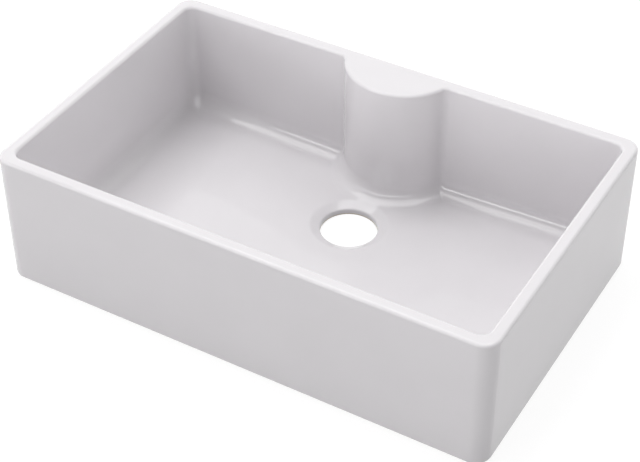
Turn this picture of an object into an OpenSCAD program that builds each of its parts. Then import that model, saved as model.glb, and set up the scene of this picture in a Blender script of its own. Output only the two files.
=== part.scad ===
/* [Outside] */
// Overall width, from left to right
sink_w = 795; // [600:1:1000]
// Overall depth, from front to back
sink_d = 500; // [440:1:600]
// Overall height
sink_h = 220; // [180:1:300]
// Radius of the four upright outer corners
corner_r = 25; // [12:1:40]
// Radius of the outer edges, round the rim and round the base
edge_r = 5; // [3:0.5:8]

/* [Bowl] */
// Thickness of the walls
wall_t = 20; // [17:1:26]
// Radius of the rim's inner edge
rim_r = 5; // [3:0.5:7]
// Radius of the bowl's upright corners
bowl_corner_r = 16; // [8:1:40]
// Radius where the walls and the tap ledge run into the floor
foot_r = 25; // [12:1:30]
// Thickness of the floor at the edge of the dish round the waste hole
floor_t = 17; // [15:1:24]
// Fall of the floor towards the waste hole, in degrees
floor_fall = 2.25; // [0.5:0.25:4]

/* [Waste hole] */
// Diameter of the hole that takes the waste fitting
waste_d = 90; // [60:1:95]
// Distance of the hole's axis from the outer back face
waste_back = 160; // [155:1:200]
// Diameter of the shallow dish round the hole
dish_d = 122; // [112:1:140]
// Slope of the dish, in degrees
dish_fall = 26; // [10:1:28]
// Radius of the edge where the dish turns down into the hole
lip_r = 4; // [2:0.5:6]

/* [Tap ledge] */
// Radius of the ledge's round front
ledge_r = 93; // [75:1:105]
// How far the ledge stands out from the bowl's back wall
ledge_out = 61; // [40:1:66]
// Radius of the hollows where the ledge's sides meet the back wall
ledge_side_r = 12; // [6:1:20]
// Thickness of the ledge's top, over the hollow inside it
ledge_t = 24; // [16:1:40]

/* [Glaze] */
// Thickness of the glaze
glaze_t = 1; // [0.5:0.1:1.5]
// Height of the line round the foot below which the glaze is wiped off
wipe_h = 2; // [1.6:0.1:3]

/* [Hidden] */
$fn = 96;

// Half sizes of the bowl between its upright walls
bowl_x = sink_w / 2 - wall_t;
bowl_y = sink_d / 2 - wall_t;
// Axes of the waste hole and of the ledge's round front, both on the sink's centre line
waste_y = sink_d / 2 - waste_back;
ledge_y = bowl_y - ledge_out + ledge_r;
waste_r = waste_d / 2;
dish_r = dish_d / 2;
// How far cutting tools run past the faces they cut
lap = 1;
// Radius that a corner keeps where its sides have closed in on it
tight_r = 1.5;

// Steps of the bowl's outline, for one half of it, and steps down its rounded edges
front_arc_steps = 12;
side_arc_steps = 4;
corner_steps = 6;
wall_steps = 4;
rim_steps = 3;
foot_steps = 6;
floor_steps = 2;
lip_steps = 2;
// Steepest slope of the lip, in degrees, and how far inside the hole's wall its line runs
lip_end = 62;
lip_run = 0.2;
// Direction from the hole's axis to where the floor line from the end of the ledge's foot
// meets the dish, clockwise from the back
fan_side = 90;

// Height of the inside floor at distance r from the axis of the hole
function floor_z(r) = floor_t + (r - dish_r) * tan(r > dish_r ? floor_fall : dish_fall);

function waste_range(p) = norm([p[0], p[1] - waste_y]);

// Points of an arc about centre, where turn runs clockwise from the back (+Y)
function arc(centre, r, from, to, steps) = [
  for (i = [0:steps]) let (turn = from + (to - from) * i / steps)
    centre + r * [sin(turn), cos(turn)]
];

// Points between a and b, without the two ends
function between(a, b, steps) = [for (i = [1:steps - 1]) a + (b - a) * i / steps];

// Right half of the bowl's outline, moved out of the bowl by o, from the ledge's front
// along the back wall, the right wall and the front wall to the centre line. The upright
// corners have radius cr there and the hollows beside the ledge have radius sr.
function half_outline(o, cr, sr) =
  let (
    front_r = ledge_r - o,
    x = bowl_x + o,
    y = bowl_y + o,
    side_turn = acos((ledge_y - y + sr) / (front_r + sr)),
    side = [(front_r + sr) * sin(side_turn), y - sr],
    back = [x - cr, y - cr],
    front = [x - cr, cr - y]
  )
  concat(
    arc([0, ledge_y], front_r, 180, 180 - side_turn, front_arc_steps),
    [for (i = [1:side_arc_steps]) arc(side, sr, -side_turn, 0, side_arc_steps)[i]],
    between(side + [0, sr], back + [0, cr], wall_steps),
    arc(back, cr, 0, 90, corner_steps),
    between(back + [cr, 0], front + [cr, 0], wall_steps),
    arc(front, cr, 90, 180, corner_steps),
    between(front - [0, cr], [0, -y], wall_steps),
    [[0, -y]]
  );

// Whole ring from its right half, whose first and last points lie on the centre line
function ring(half) = concat(half, [for (i = [len(half) - 2:-1:1]) [-half[i][0], half[i][1]]]);

function level(points, z) = [for (p = points) [p[0], p[1], z]];

// Ring of the rim's inner edge, where turn is 0 on the top face and 90 on the wall
function rim_ring(g, turn) =
  let (o = rim_r - (rim_r - g) * sin(turn))
  level(ring(half_outline(o, bowl_corner_r + o, ledge_side_r + o)),
        sink_h - rim_r + (rim_r - g) * cos(turn));

// Half ring of the foot, where turn is 0 on the wall and 90 on the floor
function foot_half(g, turn) =
  half_outline(g - (foot_r + g) * (1 - cos(turn)),
               max((bowl_corner_r + g) * cos(turn), tight_r),
               max((ledge_side_r + g) * cos(turn), tight_r));

function foot_ring(g, turn) = [
  for (p = ring(foot_half(g, turn)))
    [p[0], p[1], floor_z(waste_range(p)) + foot_r - (foot_r + g) * sin(turn)]
];

function waste_turn(p) = atan2(p[0], p[1] - waste_y);

// Directions from the hole's axis in which the floor's lines meet the dish, clockwise
// from the back, one for each point of the half outline. They swing wide of the ledge,
// and past it they are half way between the points' own directions and an even spread.
function fan(half) =
  let (
    toe_turn = waste_turn(half[front_arc_steps]),
    rest = len(half) - 1 - front_arc_steps
  )
  [
    for (i = [0:len(half) - 1])
      i <= front_arc_steps ? fan_side * i / front_arc_steps :
      let (
        own = (waste_turn(half[i]) - toe_turn) / (180 - toe_turn),
        even = (i - front_arc_steps) / rest
      )
      fan_side + (180 - fan_side) * (own + even) / 2
  ];

// Half ring of the dish's edge, drawn in where the ledge's foot reaches over it
function dish_half(half) =
  let (turns = fan(half))
  [
    for (i = [0:len(half) - 1])
      let (reach = lip_top[0] + (waste_range(half[i]) - lip_top[0]) * dish_share)
        [0, waste_y] + min(dish_r, reach) * [sin(turns[i]), cos(turns[i])]
  ];

function floor_ring(g, points) = [
  for (p = ring(points)) [p[0], p[1], floor_z(waste_range(p)) - g]
];

// Share of the way out to the ledge's foot that the dish may take
dish_share = 0.8;
// Centre of the lip's round edge, and where the slope of the dish runs into it,
// as radius and height
lip_centre_r = waste_r - lip_run + lip_r * sin(lip_end);
lip_top = let (r = lip_centre_r - lip_r * sin(dish_fall)) [r, floor_z(r)];
lip_centre_z = lip_top[1] - lip_r * cos(dish_fall);

// Radii and heights down the lip, and one below it inside the hole
function lip_profile(g) =
  let (end = [lip_centre_r - (lip_r - g) * sin(lip_end), lip_centre_z + (lip_r - g) * cos(lip_end)])
  concat(
    [
      for (i = [0:lip_steps]) let (turn = dish_fall + (lip_end - dish_fall) * i / lip_steps)
        [lip_centre_r - (lip_r - g) * sin(turn), lip_centre_z + (lip_r - g) * cos(turn)]
    ],
    [end - (g + lap) * [1, tan(lip_end)]]
  );

function lip_rings(g, half) = [
  for (p = lip_profile(g))
    level(ring([for (turn = fan(half)) [0, waste_y] + p[0] * [sin(turn), cos(turn)]]), p[1])
];

// Closed skin over rings of the same number of points, from the top ring down
module loft(rings) {
  n = len(rings[0]);
  last = len(rings) - 1;
  function at(k, i) = k * n + i % n;
  polyhedron(
    [for (points = rings) each points],
    concat(
      [[for (i = [0:n - 1]) i]],
      [
        for (k = [0:last - 1], i = [0:n - 1])
          each [[at(k, i + 1), at(k, i), at(k + 1, i)], [at(k, i + 1), at(k + 1, i), at(k + 1, i + 1)]]
      ],
      [[for (i = [n - 1:-1:0]) at(last, i)]]
    )
  );
}

// Space inside the bowl, with its walls, floor, dish and lip moved out by g
module bowl_space(g) {
  floor_edge = foot_half(g, 90);
  dish_edge = dish_half(floor_edge);
  loft(concat(
    [level(rim_ring(g, 0), sink_h + lap)],
    [for (i = [0:rim_steps]) rim_ring(g, 90 * i / rim_steps)],
    [for (i = [0:foot_steps]) foot_ring(g, 90 * i / foot_steps)],
    [for (i = [1:floor_steps]) floor_ring(g, floor_edge + (dish_edge - floor_edge) * i / floor_steps)],
    lip_rings(g, floor_edge)
  ));
}

// Section through a block of height h across its width w, with edges of radius e
module block_section(w, h, e) {
  translate([-w / 2 + e, 0]) square([w - 2 * e, h]);
  translate([-w / 2, e]) square([w, h - 2 * e]);
  for (x = [-1, 1], z = [e, h - e])
    translate([x * (w / 2 - e), z]) circle(e);
}

// Bar along X through a block
module block_bar(length, w, h, e) {
  rotate([90, 0, 90])
    translate([0, 0, -length / 2])
      linear_extrude(length) block_section(w, h, e);
}

// Block w wide, d deep and h high, with upright corners of radius r and edges of radius e
module rounded_block(w, d, h, r, e) {
  block_bar(w - 2 * r, d, h, e);
  rotate(90) block_bar(d - 2 * r, w, h, e);
  for (x = [-1, 1], y = [-1, 1])
    translate([x * (w / 2 - r), y * (d / 2 - r), 0])
      rotate_extrude()
        intersection() {
          block_section(2 * r, h, e);
          square([r, h]);
        }
}

// Solid block of the sink's outer form, with its faces moved in by g
module block(g) {
  translate([0, 0, g])
    rounded_block(sink_w - 2 * g, sink_d - 2 * g, sink_h - 2 * g, corner_r - g, edge_r - g);
}

// Waste hole with its wall moved out by g
module waste_hole(g) {
  translate([0, waste_y, -lap]) cylinder(r = waste_r + g, h = floor_t + 2 * lap);
}

// Walls, floor and tap ledge, with every glazed face moved into the material by g
module casting(g) {
  difference() {
    block(g);
    bowl_space(g);
    waste_hole(g);
  }
}

// Hollow inside the tap ledge, open at the underside
module ledge_hollow() {
  translate([0, 0, -lap])
    linear_extrude(sink_h - ledge_t + lap)
      intersection() {
        translate([0, ledge_y]) circle(ledge_r - wall_t);
        translate([-ledge_r, bowl_y - ledge_r]) square([2 * ledge_r, ledge_r]);
      }
}

// Everything below the line where the glaze is wiped off
module foot_zone() {
  translate([-sink_w / 2 - lap, -sink_d / 2 - lap, -lap])
    cube([sink_w + 2 * lap, sink_d + 2 * lap, wipe_h + lap]);
}

// The bare foot, out to the level of the glazed faces
module bare_foot() {
  difference() {
    intersection() {
      block(0);
      foot_zone();
    }
    waste_hole(0);
  }
}

module fireclay_body() {
  color([0.87, 0.82, 0.73])
    difference() {
      union() {
        casting(glaze_t);
        bare_foot();
      }
      ledge_hollow();
    }
}

module glaze_coat() {
  color([0.96, 0.96, 0.95])
    difference() {
      casting(0);
      casting(glaze_t);
      foot_zone();
    }
}

fireclay_body();
glaze_coat();
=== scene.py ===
"""Butler sink with a tap ledge: the looks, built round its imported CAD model."""
import math

import bmesh
import bpy
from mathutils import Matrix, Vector


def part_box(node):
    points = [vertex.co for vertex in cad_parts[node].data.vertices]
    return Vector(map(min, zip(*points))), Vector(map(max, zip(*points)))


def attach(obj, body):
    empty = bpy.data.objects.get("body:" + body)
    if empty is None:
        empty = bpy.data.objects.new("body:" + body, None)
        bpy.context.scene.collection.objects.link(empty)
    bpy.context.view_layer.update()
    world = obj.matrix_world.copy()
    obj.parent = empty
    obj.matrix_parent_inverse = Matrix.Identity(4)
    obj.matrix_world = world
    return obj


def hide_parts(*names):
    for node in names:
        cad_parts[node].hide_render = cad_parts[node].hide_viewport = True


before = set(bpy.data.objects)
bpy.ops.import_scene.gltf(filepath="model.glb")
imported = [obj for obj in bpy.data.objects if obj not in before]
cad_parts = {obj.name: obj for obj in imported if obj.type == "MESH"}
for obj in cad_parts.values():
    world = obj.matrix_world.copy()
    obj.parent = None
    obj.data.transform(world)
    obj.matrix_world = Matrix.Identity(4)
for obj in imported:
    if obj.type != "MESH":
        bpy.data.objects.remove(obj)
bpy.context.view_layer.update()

bl_info = {
    "name": "Butler sink",
    "version": (1, 0, 0),
    "blender": (4, 5, 0),
    "location": "3D View > Sidebar > Sink",
    "description": "Glazed fireclay butler sink with a tap ledge, on a studio floor",
    "category": "Object",
}

SINK_LOW, SINK_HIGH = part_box("glaze_coat")
SINK_W = SINK_HIGH.x - SINK_LOW.x
SINK_D = SINK_HIGH.y - SINK_LOW.y
SINK_H = SINK_HIGH.z
# Height of the line where the glaze is wiped off
WIPE_H = SINK_LOW.z

QUARTER = math.pi / 2
WHITE = (1, 1, 1, 1)

# Stations of the bowl's outline, for one half of it, counted between its corners
LEDGE_STATIONS = 36
HOLLOW_STATIONS = 14
BACK_STATIONS = 12
CORNER_STATIONS = 14
SIDE_STATIONS = 20
FRONT_STATIONS = 30

# Steps down the rounded edges, the foot, the floor and the dish
EDGE_STEPS = 8
FOOT_STEPS = 18
FLOOR_STEPS = 16
DISH_STEPS = 8
LIP_STEPS = 10
# Distance from a flat face's edge to the line beside it that keeps the flat's shading true
KEEP = 0.0008
# Radius that a corner keeps where its sides have closed in on it
TIGHT_R = 0.0015
# Share of the way out to the ledge's foot that the dish may take
DISH_SHARE = 0.8


class SinkSizes(bpy.types.PropertyGroup):
    """Sizes of the sink that its outer box doesn't give"""

    corner_r: bpy.props.FloatProperty(
        name="Outer corners", description="Radius of the four upright outer corners",
        default=0.025, min=0.012, max=0.040, unit="LENGTH")
    edge_r: bpy.props.FloatProperty(
        name="Outer edges", description="Radius of the outer edges, round the rim and the base",
        default=0.005, min=0.003, max=0.008, unit="LENGTH")
    wall_t: bpy.props.FloatProperty(
        name="Walls", description="Thickness of the walls",
        default=0.020, min=0.017, max=0.026, unit="LENGTH")
    rim_r: bpy.props.FloatProperty(
        name="Rim", description="Radius of the rim's inner edge",
        default=0.005, min=0.003, max=0.007, unit="LENGTH")
    bowl_corner_r: bpy.props.FloatProperty(
        name="Bowl corners", description="Radius of the bowl's upright corners",
        default=0.016, min=0.008, max=0.040, unit="LENGTH")
    foot_r: bpy.props.FloatProperty(
        name="Foot", description="Radius where the walls and the ledge run into the floor",
        default=0.025, min=0.012, max=0.030, unit="LENGTH")
    floor_t: bpy.props.FloatProperty(
        name="Floor", description="Height of the floor at the edge of the dish",
        default=0.017, min=0.015, max=0.024, unit="LENGTH")
    floor_fall: bpy.props.FloatProperty(
        name="Fall", description="Slope of the floor towards the waste hole",
        default=math.radians(2.25), min=math.radians(0.5), max=math.radians(4), unit="ROTATION")
    waste_r: bpy.props.FloatProperty(
        name="Waste hole", description="Radius of the waste hole",
        default=0.045, min=0.030, max=0.0475, unit="LENGTH")
    waste_y: bpy.props.FloatProperty(
        name="Waste place", description="Distance of the hole's axis behind the sink's middle",
        default=0.090, min=0.050, max=0.095, unit="LENGTH")
    dish_r: bpy.props.FloatProperty(
        name="Dish", description="Radius of the shallow dish round the hole",
        default=0.061, min=0.056, max=0.070, unit="LENGTH")
    dish_fall: bpy.props.FloatProperty(
        name="Dish slope", description="Slope of the dish",
        default=math.radians(26), min=math.radians(10), max=math.radians(28), unit="ROTATION")
    dish_soft: bpy.props.FloatProperty(
        name="Dish edge", description="Width over which the floor turns down into the dish",
        default=0.005, min=0.001, max=0.010, unit="LENGTH")
    lip_r: bpy.props.FloatProperty(
        name="Lip", description="Radius of the edge where the dish turns down into the hole",
        default=0.004, min=0.002, max=0.006, unit="LENGTH")
    ledge_r: bpy.props.FloatProperty(
        name="Ledge", description="Radius of the tap ledge's round front",
        default=0.093, min=0.075, max=0.105, unit="LENGTH")
    ledge_out: bpy.props.FloatProperty(
        name="Ledge depth", description="How far the ledge stands out from the bowl's back wall",
        default=0.061, min=0.040, max=0.066, unit="LENGTH")
    ledge_side_r: bpy.props.FloatProperty(
        name="Ledge sides", description="Radius of the hollows where the ledge meets the wall",
        default=0.012, min=0.006, max=0.020, unit="LENGTH")
    glaze_t: bpy.props.FloatProperty(
        name="Glaze", description="Thickness of the glaze",
        default=0.001, min=0.0005, max=0.0015, unit="LENGTH")


class SinkFinish(bpy.types.PropertyGroup):
    """Colours of the glaze, the bare clay and the stage"""

    glaze: bpy.props.FloatVectorProperty(
        name="Glaze", description="Colour of the white glaze",
        default=(0.735, 0.717, 0.735), size=3, min=0, max=1, subtype="COLOR")
    gloss: bpy.props.FloatProperty(
        name="Roughness", description="Roughness of the glaze",
        default=0.015, min=0, max=1, subtype="FACTOR")
    clay: bpy.props.FloatVectorProperty(
        name="Clay", description="Colour of the bare fired clay",
        default=(0.66, 0.60, 0.50), size=3, min=0, max=1, subtype="COLOR")
    ground: bpy.props.FloatVectorProperty(
        name="Ground", description="Colour of the studio floor",
        default=(0.42, 0.41, 0.42), size=3, min=0, max=1, subtype="COLOR")


def lerp(a, b, t):
    return a + (b - a) * t


def smooth(t):
    """The share t, with a gentle start and end."""
    return t * t * (3 - 2 * t)


class BowlForm:
    """Lines of the sink's glazed faces, each a right half that starts at the ledge."""

    def __init__(self, sizes):
        self.s = sizes
        self.bowl_x = SINK_W / 2 - sizes.wall_t
        self.bowl_y = SINK_D / 2 - sizes.wall_t
        self.ledge_y = self.bowl_y - sizes.ledge_out + sizes.ledge_r
        self.waste = Vector((0, sizes.waste_y))
        self.lip_centre_r = sizes.waste_r + sizes.lip_r
        self.lip_top_r = self.lip_centre_r - sizes.lip_r * math.sin(sizes.dish_fall)
        self.lip_centre_z = self.floor_z(self.lip_top_r) - sizes.lip_r * math.cos(sizes.dish_fall)
        self.dish_edge_r = sizes.dish_r + sizes.dish_soft / 2
        self.foot_edge = self.foot_half(QUARTER)
        self.turns = self.fan()

    def floor_z(self, r):
        """Height of the floor at distance r from the hole's axis, with the dish's soft edge."""
        s = self.s
        half = s.dish_soft / 2
        flat = math.tan(s.floor_fall)
        steep = math.tan(s.dish_fall)
        out = r - s.dish_r
        if out >= half:
            return s.floor_t + out * flat
        if out <= -half:
            return s.floor_t + out * steep
        return s.floor_t + out * flat - (steep - flat) * (out - half) ** 2 / (4 * half)

    @staticmethod
    def arc(centre, r, start, end, steps, first=0):
        """Points of an arc, where a turn runs clockwise from the back."""
        turns = [lerp(start, end, i / steps) for i in range(first, steps + 1)]
        return [centre + r * Vector((math.sin(t), math.cos(t))) for t in turns]

    @staticmethod
    def line(start, end, steps):
        """Points of a straight line, without its start."""
        return [start.lerp(end, i / steps) for i in range(1, steps + 1)]

    def outline(self, out, corner, hollow):
        """The bowl's outline moved out of the bowl by out, with those radii at corners and hollows."""
        x = self.bowl_x + out
        y = self.bowl_y + out
        front_r = self.s.ledge_r - out
        # Turn about the centre of the ledge's front, from straight ahead to where it meets the hollow
        side = math.acos((self.ledge_y - y + hollow) / (front_r + hollow))
        side_at = Vector(((front_r + hollow) * math.sin(side), y - hollow))
        back = Vector((x - corner, y - corner))
        front = Vector((x - corner, corner - y))
        points = self.arc(Vector((0, self.ledge_y)), front_r, math.pi, math.pi - side, LEDGE_STATIONS)
        points += self.arc(side_at, hollow, -side, 0, HOLLOW_STATIONS, first=1)
        points += self.line(points[-1], back + Vector((0, corner)), BACK_STATIONS)
        points += self.arc(back, corner, 0, QUARTER, CORNER_STATIONS, first=1)
        points += self.line(points[-1], front + Vector((corner, 0)), SIDE_STATIONS)
        points += self.arc(front, corner, QUARTER, 2 * QUARTER, CORNER_STATIONS, first=1)
        points += self.line(points[-1], Vector((0, -y)), FRONT_STATIONS)
        return points

    def outer(self, inset):
        """The outside's outline moved in by inset, a point for each of the bowl's."""
        r = self.s.corner_r - inset
        x = SINK_W / 2 - self.s.corner_r
        y = SINK_D / 2 - self.s.corner_r
        behind = self.outline(0, self.s.bowl_corner_r, self.s.ledge_side_r)
        behind = behind[:LEDGE_STATIONS + HOLLOW_STATIONS + 1]
        points = [Vector((p.x, y + r)) for p in behind]
        points += self.line(points[-1], Vector((x, y + r)), BACK_STATIONS)
        points += self.arc(Vector((x, y)), r, 0, QUARTER, CORNER_STATIONS, first=1)
        points += self.line(points[-1], Vector((x + r, -y)), SIDE_STATIONS)
        points += self.arc(Vector((x, -y)), r, QUARTER, 2 * QUARTER, CORNER_STATIONS, first=1)
        points += self.line(points[-1], Vector((0, -y - r)), FRONT_STATIONS)
        return points

    def foot_half(self, turn):
        """Outline of the foot, where turn is 0 on the wall and a quarter on the floor."""
        s = self.s
        return self.outline(
            -s.foot_r * (1 - math.cos(turn)),
            max(s.bowl_corner_r * math.cos(turn), TIGHT_R),
            max(s.ledge_side_r * math.cos(turn), TIGHT_R))

    def reach(self, p):
        return (p - self.waste).length

    def bearing(self, p):
        """Direction of a point from the hole's axis, clockwise from the back."""
        away = p - self.waste
        return math.atan2(away.x, away.y)

    def fan(self):
        """Directions in which the floor's lines meet the dish. They swing wide of the ledge."""
        toe = self.bearing(self.foot_edge[LEDGE_STATIONS])
        rest = len(self.foot_edge) - 1 - LEDGE_STATIONS
        turns = []
        for i, p in enumerate(self.foot_edge):
            if i <= LEDGE_STATIONS:
                turns.append(QUARTER * i / LEDGE_STATIONS)
                continue
            own = (self.bearing(p) - toe) / (math.pi - toe) if p.x else 1
            even = (i - LEDGE_STATIONS) / rest
            turns.append(QUARTER * (1 + (own + even) / 2))
        return turns

    def on_floor(self, points):
        return [(p.x, p.y, self.floor_z(self.reach(p))) for p in points]

    def round_hole(self, reaches):
        """Points round the hole's axis at those distances, one for each direction of the fan."""
        return [self.waste + r * Vector((math.sin(t), math.cos(t)))
                for r, t in zip(reaches, self.turns)]

    def level_line(self, r, z):
        """Line round the hole's axis at distance r and height z."""
        return [(p.x, p.y, z) for p in self.round_hole([r] * len(self.turns))]

    def to_foot(self, turn):
        """Distance from the hole's axis to the foot of the ledge's round front, that way."""
        away = self.ledge_y - self.s.waste_y
        foot_front_r = self.s.ledge_r + self.s.foot_r
        under_root = foot_front_r ** 2 - (away * math.sin(turn)) ** 2
        if under_root < 0 or math.cos(turn) < 0:
            return math.inf
        return away * math.cos(turn) - math.sqrt(under_root)

    def dish_half(self, r):
        """Line round the dish at distance r, drawn in where the ledge's foot reaches over it."""
        share = (r - self.lip_top_r) / (self.dish_edge_r - self.lip_top_r)
        reaches = []
        for turn in self.turns:
            limit = lerp(self.lip_top_r, self.to_foot(turn), DISH_SHARE)
            reaches.append(min(r, lerp(self.lip_top_r, limit, share)))
        return self.round_hole(reaches)

    def outside_lines(self):
        """From the line where the glaze is wiped off, up the outside and over the rim's edge."""
        r = self.s.edge_r
        insets = []
        start = math.asin((r - WIPE_H) / r)
        for i in range(EDGE_STEPS + 1):
            turn = lerp(start, 0, i / EDGE_STEPS)
            insets.append((r * (1 - math.cos(turn)), r * (1 - math.sin(turn))))
        insets.append((0, r + KEEP))
        insets.append((0, SINK_H / 2))
        insets.append((0, SINK_H - r - KEEP))
        for i in range(EDGE_STEPS + 1):
            turn = QUARTER * i / EDGE_STEPS
            insets.append((r * (1 - math.cos(turn)), SINK_H - r * (1 - math.sin(turn))))
        insets.append((r + KEEP, SINK_H))
        return [[(p.x, p.y, z) for p in self.outer(inset)] for inset, z in insets]

    def rim_line(self, out, z):
        """The bowl's outline at height z, widened by out all round."""
        s = self.s
        return [(p.x, p.y, z) for p in self.outline(out, s.bowl_corner_r + out, s.ledge_side_r + out)]

    def foot_line(self, turn, lift=0):
        """The foot's line at that turn, from the wall to the floor, raised by lift."""
        r = self.s.foot_r
        return [(p.x, p.y, self.floor_z(self.reach(p)) + r * (1 - math.sin(turn)) + lift)
                for p in self.foot_half(turn)]

    def inside_lines(self):
        """From the flat of the rim, down the walls, over the floor and down the waste hole."""
        s = self.s
        lines = [self.rim_line(s.rim_r + KEEP, SINK_H)]
        for i in range(EDGE_STEPS + 1):
            turn = QUARTER * i / EDGE_STEPS
            lines.append(self.rim_line(s.rim_r * (1 - math.sin(turn)),
                                       SINK_H - s.rim_r * (1 - math.cos(turn))))
        lines.append(self.rim_line(0, SINK_H - s.rim_r - KEEP))
        lines.append(self.rim_line(0, SINK_H / 2))
        lines.append(self.foot_line(0, lift=KEEP))
        lines += [self.foot_line(QUARTER * i / FOOT_STEPS) for i in range(FOOT_STEPS + 1)]

        dish_edge = self.dish_half(self.dish_edge_r)
        for i in range(1, FLOOR_STEPS + 1):
            share = smooth(i / FLOOR_STEPS)
            lines.append(self.on_floor([a.lerp(b, share) for a, b in zip(self.foot_edge, dish_edge)]))
        for i in range(1, DISH_STEPS + 1):
            r = lerp(self.dish_edge_r, self.lip_top_r, i / DISH_STEPS)
            lines.append(self.on_floor(self.dish_half(r)))
        for i in range(1, LIP_STEPS + 1):
            turn = lerp(s.dish_fall, QUARTER, i / LIP_STEPS)
            r = self.lip_centre_r - s.lip_r * math.sin(turn)
            lines.append(self.level_line(r, self.lip_centre_z + s.lip_r * math.cos(turn)))
        lines.append(self.level_line(s.waste_r, self.lip_centre_z - KEEP))
        lines.append(self.level_line(s.waste_r, WIPE_H))
        return lines


def whole(half):
    """Ring from its right half, whose first and last points lie on the centre line."""
    return list(half) + [(-x, y, z) for x, y, z in half[-2:0:-1]]


def skin_from_lines(bm, lines):
    """Extrudes the first line's ring of edges from each line to the next."""
    station = bm.verts.layers.int.new("station")
    first = whole(lines[0])
    ring = [bm.verts.new(p) for p in first]
    for i, vert in enumerate(ring):
        vert[station] = i
    edges = [bm.edges.new((ring[i - 1], ring[i])) for i in range(len(ring))]
    for line in lines[1:]:
        points = whole(line)
        made = bmesh.ops.extrude_edge_only(bm, edges=edges)["geom"]
        verts = {v for v in made if isinstance(v, bmesh.types.BMVert)}
        for vert in verts:
            vert.co = points[vert[station]]
        edges = [e for e in made if isinstance(e, bmesh.types.BMEdge)
                 and e.verts[0] in verts and e.verts[1] in verts]


def add_piece(name, bm, material, body="root"):
    """Object with that mesh and material, riding on the body."""
    mesh = bpy.data.meshes.new(name)
    bm.to_mesh(mesh)
    bm.free()
    mesh.materials.append(material)
    piece = bpy.data.objects.new(name, mesh)
    bpy.context.scene.collection.objects.link(piece)
    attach(piece, body)
    return piece


class Nodes:
    """Adds the nodes of a material or the world and joins them."""

    def __init__(self, owner):
        owner.use_nodes = True
        self.tree = owner.node_tree
        self.tree.nodes.clear()

    def feed(self, socket, value):
        """Joins another node's output to the socket, or sets the socket to a plain value."""
        if isinstance(value, bpy.types.NodeSocket):
            self.tree.links.new(value, socket)
        else:
            socket.default_value = value

    def add(self, kind, *fed, **named):
        """A node of that kind. Values feed its inputs in order, or its inputs or properties by name."""
        node = self.tree.nodes.new(kind)
        for key, value in named.items():
            if hasattr(node, key):
                setattr(node, key, value)
            else:
                self.feed(node.inputs[key.replace("_", " ")], value)
        for socket, value in zip(node.inputs, fed):
            self.feed(socket, value)
        return node

    def math(self, kind, first, second):
        return self.add("ShaderNodeMath", first, second, operation=kind).outputs[0]


def noise(nodes, place, size, detail=2.0, roughness=0.5):
    """Noise over the object whose marks are about that size, in metres."""
    node = nodes.add("ShaderNodeTexNoise", Vector=place, Scale=1 / size, Detail=detail,
                     Roughness=roughness)
    return node.outputs["Fac"]


def remap(nodes, value, low, high, start=0.3, end=0.7):
    """Low where the value is start or less and high where it is end or more, with a slope between."""
    node = nodes.add("ShaderNodeMapRange", Value=value, From_Min=start, From_Max=end,
                     To_Min=low, To_Max=high)
    return node.outputs["Result"]


def tone(colour, factor):
    """The colour made darker or paler by that factor."""
    return (*(c * factor for c in colour), 1)


def blend(nodes, share, first, second):
    """Colour that goes from the first to the second by that share."""
    node = nodes.add("ShaderNodeMix", share, data_type="RGBA")
    colours = [socket for socket in node.inputs if socket.type == "RGBA"]
    for socket, colour in zip(colours, (first, second)):
        nodes.feed(socket, colour)
    return next(socket for socket in node.outputs if socket.type == "RGBA")


# Glaze. Sizes and heights are in metres, here and for the clay.
GLAZE_IOR = 1.6
# Where it pools thicker and thinner, and the factors of its colour there
POOL_SIZE = 0.09
POOL_TONES = (0.99, 1.01)
# Where it is smoother and rougher, and the factors of its roughness there
SMEAR_SIZE = 0.012
SMEAR_FACTORS = (0.8, 1.25)
RIPPLE_SIZE = 0.03
RIPPLE_HEIGHT = 0.0002
RIPPLE_STRENGTH = 0.05

# Bare clay: its clouds, its dark grains of grog, its roughness and its sandy surface
CLOUD_SIZE = 0.06
CLOUD_TONES = (0.93, 1.07)
GROG_SPACING = 0.0022
# Distances from a grain's centre, as shares of the spacing, where it ends and the clay begins
GROG_EDGE = (0.12, 0.22)
GROG_TONE = 0.55
ROUGH_SIZE = 0.02
ROUGHNESS = (0.78, 0.95)
SAND_SIZE = 0.0015
SAND_HEIGHT = 0.0003
SAND_STRENGTH = 0.5


def white_glaze(finish):
    """Glossy white glaze that pools a little thicker and thinner, with a faint ripple."""
    material = bpy.data.materials.new("white_glaze")
    nodes = Nodes(material)
    place = nodes.add("ShaderNodeTexCoord").outputs["Object"]
    pool = remap(nodes, noise(nodes, place, POOL_SIZE), 0, 1)
    thin, thick = (tone(finish.glaze, factor) for factor in POOL_TONES)
    smooth_gloss, rough_gloss = (finish.gloss * factor for factor in SMEAR_FACTORS)
    smear = remap(nodes, noise(nodes, place, SMEAR_SIZE, detail=4), smooth_gloss, rough_gloss)
    ripple = noise(nodes, place, RIPPLE_SIZE, detail=1)
    bump = nodes.add("ShaderNodeBump", Strength=RIPPLE_STRENGTH, Distance=RIPPLE_HEIGHT, Height=ripple)
    shader = nodes.add("ShaderNodeBsdfPrincipled", Base_Color=blend(nodes, pool, thin, thick),
                       Roughness=smear, IOR=GLAZE_IOR, Normal=bump.outputs["Normal"])
    nodes.add("ShaderNodeOutputMaterial", Surface=shader.outputs["BSDF"])
    return material


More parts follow.
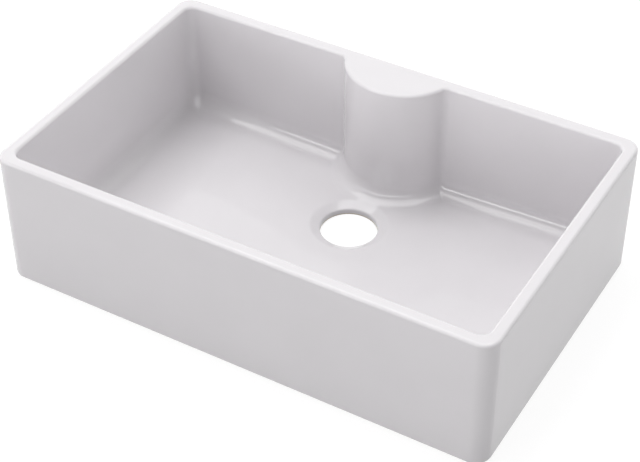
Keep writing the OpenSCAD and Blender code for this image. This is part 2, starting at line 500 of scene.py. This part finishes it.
def bare_clay(finish):
    """Fired buff clay with grog: dark grains in a cloudy ground, and a sandy surface."""
    material = bpy.data.materials.new("fireclay")
    nodes = Nodes(material)
    place = nodes.add("ShaderNodeTexCoord").outputs["Object"]
    cloud = remap(nodes, noise(nodes, place, CLOUD_SIZE, detail=3), 0, 1)
    dark, pale = (tone(finish.clay, factor) for factor in CLOUD_TONES)
    grain = nodes.add("ShaderNodeTexVoronoi", Vector=place, Scale=1 / GROG_SPACING)
    speck = remap(nodes, grain.outputs["Distance"], 1, 0, *GROG_EDGE)
    colour = blend(nodes, speck, blend(nodes, cloud, dark, pale), tone(finish.clay, GROG_TONE))
    rough = remap(nodes, noise(nodes, place, ROUGH_SIZE, detail=4), *ROUGHNESS)
    sand = noise(nodes, place, SAND_SIZE, detail=5, roughness=0.65)
    bump = nodes.add("ShaderNodeBump", Strength=SAND_STRENGTH, Distance=SAND_HEIGHT, Height=sand)
    shader = nodes.add("ShaderNodeBsdfPrincipled", Base_Color=colour, Roughness=rough,
                       Normal=bump.outputs["Normal"])
    nodes.add("ShaderNodeOutputMaterial", Surface=shader.outputs["BSDF"])
    return material


class SINK_OT_fireclay(bpy.types.Operator):
    """Gives the fireclay body its bare clay"""

    bl_idname = "sink.fireclay"
    bl_label = "Fireclay body"

    def execute(self, context):
        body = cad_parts["fireclay_body"]
        clay = bare_clay(context.scene.sink_finish)
        if not body.material_slots:
            raise RuntimeError("the fireclay body has no material slot")
        for slot in body.material_slots:
            slot.material = clay
        return {"FINISHED"}


class SINK_OT_glaze(bpy.types.Operator):
    """Models the glaze over the bowl, the rim, the ledge and the outside"""

    bl_idname = "sink.glaze"
    bl_label = "Glaze"

    def execute(self, context):
        sizes = context.scene.sink_sizes
        form = BowlForm(sizes)
        bm = bmesh.new()
        skin_from_lines(bm, form.outside_lines() + form.inside_lines())
        bmesh.ops.recalc_face_normals(bm, faces=bm.faces)
        top = max(bm.faces, key=lambda face: face.calc_center_median().z)
        if top.normal.z < 0:
            bmesh.ops.reverse_faces(bm, faces=bm.faces)
        for face in bm.faces:
            face.smooth = True
        for edge in bm.edges:
            edge.smooth = not edge.is_boundary
        glaze = add_piece("glaze_shell", bm, white_glaze(context.scene.sink_finish))
        wall = glaze.modifiers.new("thickness", "SOLIDIFY")
        wall.thickness = sizes.glaze_t
        wall.offset = -1
        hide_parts("glaze_coat")
        return {"FINISHED"}


# Width of the studio floor
FLOOR_SIZE = 12
# Studio walls: the way to each, and its brightness by height, from the horizon, 0, to overhead, 1.
# A wall's light falls off with the square of the cosine as a direction turns away from it.
STUDIO_WALLS = {
    "front": ((0, -1, 0), ((0.28, 2.6), (0.32, 0.0))),
    "back": ((0, 1, 0), ((0.28, 1.85), (0.32, 2.1), (0.58, 2.1), (0.62, 1.5), (0.71, 1.5), (0.75, 3.2),
                         (0.83, 4.4), (0.87, 0.0))),
    "left": ((-1, 0, 0), ((0.28, 1.8), (0.32, 0.0), (0.58, 0.0), (0.62, 0.9), (0.71, 0.9), (0.75, 3.0),
                          (0.83, 4.1), (0.87, 0.0))),
    "right": ((1, 0, 0), ((0.28, 0.0), (0.32, 1.0), (0.58, 1.0), (0.62, 1.25), (0.83, 2.5), (0.87, 0.0))),
}
# Softboxes that light the sink, each with its place, its size and its face's brightness, where 1 is white
KEY_LIGHTS = {
    "left_softbox": ((-2.74, 0, 7.52), (4, 4), 5.5),
    "back_softbox": ((0, 2.74, 7.52), (4, 4), 2.2),
    "front_left_softbox": ((-3.06, -5.31, 5.14), (4, 4), 1.6),
}
# Softboxes that only show in the glaze
GLOSS_LIGHTS = {
    "overhead_softbox": ((0, -0.08, 1.05), (1.5, 0.78), 2.1),
    "front_strip": ((0, -2.5, 1.35), (5, 0.6), 3.8),
}
# White that the ground shows by itself where it is seen, and the share it adds of the light on it
GROUND_GLOW = 0.87
GROUND_LIT = 0.18

# Camera, from the photograph's straight edges and ellipses. Place, distance and clip end are in metres,
# turns in radians, lens and sensor in millimetres.
CAMERA_TARGET = Vector((0.025765, -0.043071, 0.11))
CAMERA_AZIMUTH = 0.528481
CAMERA_ELEVATION = 0.697819
CAMERA_ROLL = -0.002985
CAMERA_DISTANCE = 2.424853
CAMERA_LENS = 93.458
CAMERA_SENSOR_W = 36
CAMERA_CLIP_END = 100


def by_ray(nodes, light, seen):
    """The shader seen for rays from the camera, the gloss or a see-through piece, else the light."""
    path = nodes.add("ShaderNodeLightPath")
    direct = path.outputs["Is Camera Ray"]
    for kind in ("Is Glossy Ray", "Is Transmission Ray"):
        direct = nodes.math("MAXIMUM", direct, path.outputs[kind])
    mix = nodes.add("ShaderNodeMixShader", direct, light.outputs[0], seen.outputs[0])
    return mix.outputs[0]


def white_ground(finish):
    """Studio floor that lights the sink as a grey one does, and looks white with a faint shadow."""
    material = bpy.data.materials.new("studio_ground")
    nodes = Nodes(material)
    grey = nodes.add("ShaderNodeBsdfDiffuse", Color=(*finish.ground, 1))
    shadow = nodes.add("ShaderNodeBsdfDiffuse", Color=(GROUND_LIT, GROUND_LIT, GROUND_LIT, 1))
    glow = nodes.add("ShaderNodeEmission", Color=WHITE, Strength=GROUND_GLOW)
    white = nodes.add("ShaderNodeAddShader", shadow.outputs[0], glow.outputs[0])
    nodes.add("ShaderNodeOutputMaterial", Surface=by_ray(nodes, grey, white))
    return material


def wall_light(nodes, ray, wall, heights):
    """Strength of the light from one studio wall, by the ray's height and its turn from the wall."""
    height = nodes.add("ShaderNodeSeparateXYZ", ray).outputs["Z"]
    ramp = nodes.add("ShaderNodeValToRGB", height)
    stops = ramp.color_ramp.elements
    peak = max(strength for _, strength in heights)
    while len(stops) < len(heights):
        stops.new(1)
    for stop, (at, strength) in zip(stops, heights):
        stop.position = at
        stop.color = (strength / peak,) * 3 + (1,)
    turned = nodes.add("ShaderNodeVectorMath", ray, wall, operation="DOT_PRODUCT")
    share = nodes.math("MAXIMUM", turned.outputs["Value"], 0)
    squared = nodes.math("MULTIPLY", share, share)
    return nodes.math("MULTIPLY", nodes.math("MULTIPLY", ramp.outputs[0], squared), peak)


def set_world(scene):
    """Lights the sink from the studio's walls, and shows white where the world is seen directly."""
    scene.world = bpy.data.worlds.new("studio")
    nodes = Nodes(scene.world)
    ray = nodes.add("ShaderNodeTexCoord").outputs["Generated"]
    total = 0
    for wall, heights in STUDIO_WALLS.values():
        total = nodes.math("ADD", total, wall_light(nodes, ray, wall, heights))
    walls = nodes.add("ShaderNodeBackground", Color=WHITE, Strength=total)
    white = nodes.add("ShaderNodeBackground", Color=WHITE, Strength=1)
    nodes.add("ShaderNodeOutputWorld", Surface=by_ray(nodes, walls, white))


def add_softbox(scene, name, place, size, strength, in_gloss):
    """Rectangular lamp that faces the sink. It shows in the gloss only, or isn't seen in it."""
    lamp = bpy.data.lights.new(name, "AREA")
    lamp.shape = "RECTANGLE"
    lamp.size, lamp.size_y = size
    lamp.energy = strength * math.pi * size[0] * size[1]
    box = bpy.data.objects.new(name, lamp)
    box.location = place
    box.rotation_euler = box.location.to_track_quat("Z", "Y").to_euler()
    box.visible_glossy = in_gloss
    box.visible_diffuse = not in_gloss
    scene.collection.objects.link(box)


def add_camera(scene):
    flat = math.cos(CAMERA_ELEVATION)
    back = Vector((math.sin(CAMERA_AZIMUTH) * flat, -math.cos(CAMERA_AZIMUTH) * flat,
                   math.sin(CAMERA_ELEVATION)))
    lens = bpy.data.cameras.new("camera")
    lens.sensor_fit = "HORIZONTAL"
    lens.sensor_width = CAMERA_SENSOR_W
    lens.lens = CAMERA_LENS
    lens.clip_end = CAMERA_CLIP_END
    camera = bpy.data.objects.new("camera", lens)
    camera.location = CAMERA_TARGET + back * CAMERA_DISTANCE
    camera.rotation_euler = (QUARTER - CAMERA_ELEVATION, 0, CAMERA_AZIMUTH)
    camera.rotation_euler.rotate_axis("Z", CAMERA_ROLL)
    scene.collection.objects.link(camera)
    scene.camera = camera


class SINK_OT_stage(bpy.types.Operator):
    """Adds the studio floor, the lamps, the world and the camera"""

    bl_idname = "sink.stage"
    bl_label = "Studio"

    def execute(self, context):
        scene = context.scene
        mesh = bpy.data.meshes.new("studio_floor")
        bm = bmesh.new()
        bmesh.ops.create_grid(bm, x_segments=1, y_segments=1, size=FLOOR_SIZE / 2)
        bm.to_mesh(mesh)
        bm.free()
        mesh.materials.append(white_ground(scene.sink_finish))
        floor = bpy.data.objects.new("studio_floor", mesh)
        scene.collection.objects.link(floor)

        for name, (place, size, strength) in KEY_LIGHTS.items():
            add_softbox(scene, name, place, size, strength, in_gloss=False)
        for name, (place, size, strength) in GLOSS_LIGHTS.items():
            add_softbox(scene, name, place, size, strength, in_gloss=True)
        set_world(scene)
        add_camera(scene)
        scene.view_settings.view_transform = "Standard"
        return {"FINISHED"}


class SINK_PT_panel(bpy.types.Panel):
    """The sink's pieces, sizes and finishes"""

    bl_label = "Butler sink"
    bl_idname = "SINK_PT_panel"
    bl_space_type = "VIEW_3D"
    bl_region_type = "UI"
    bl_category = "Sink"

    def draw(self, context):
        layout = self.layout
        for operator in PIECES:
            layout.operator(operator.bl_idname)
        for group in (context.scene.sink_sizes, context.scene.sink_finish):
            column = layout.column(align=True)
            for name in group.__annotations__:
                column.prop(group, name)


PIECES = (SINK_OT_stage, SINK_OT_fireclay, SINK_OT_glaze)
CLASSES = (SinkSizes, SinkFinish, *PIECES, SINK_PT_panel)


def register():
    for cls in CLASSES:
        bpy.utils.register_class(cls)
    bpy.types.Scene.sink_sizes = bpy.props.PointerProperty(type=SinkSizes)
    bpy.types.Scene.sink_finish = bpy.props.PointerProperty(type=SinkFinish)


def unregister():
    del bpy.types.Scene.sink_finish
    del bpy.types.Scene.sink_sizes
    for cls in reversed(CLASSES):
        bpy.utils.unregister_class(cls)


def main():
    register()
    bpy.ops.sink.stage()
    bpy.ops.sink.fireclay()
    bpy.ops.sink.glaze()


if __name__ == "__main__":
    main()
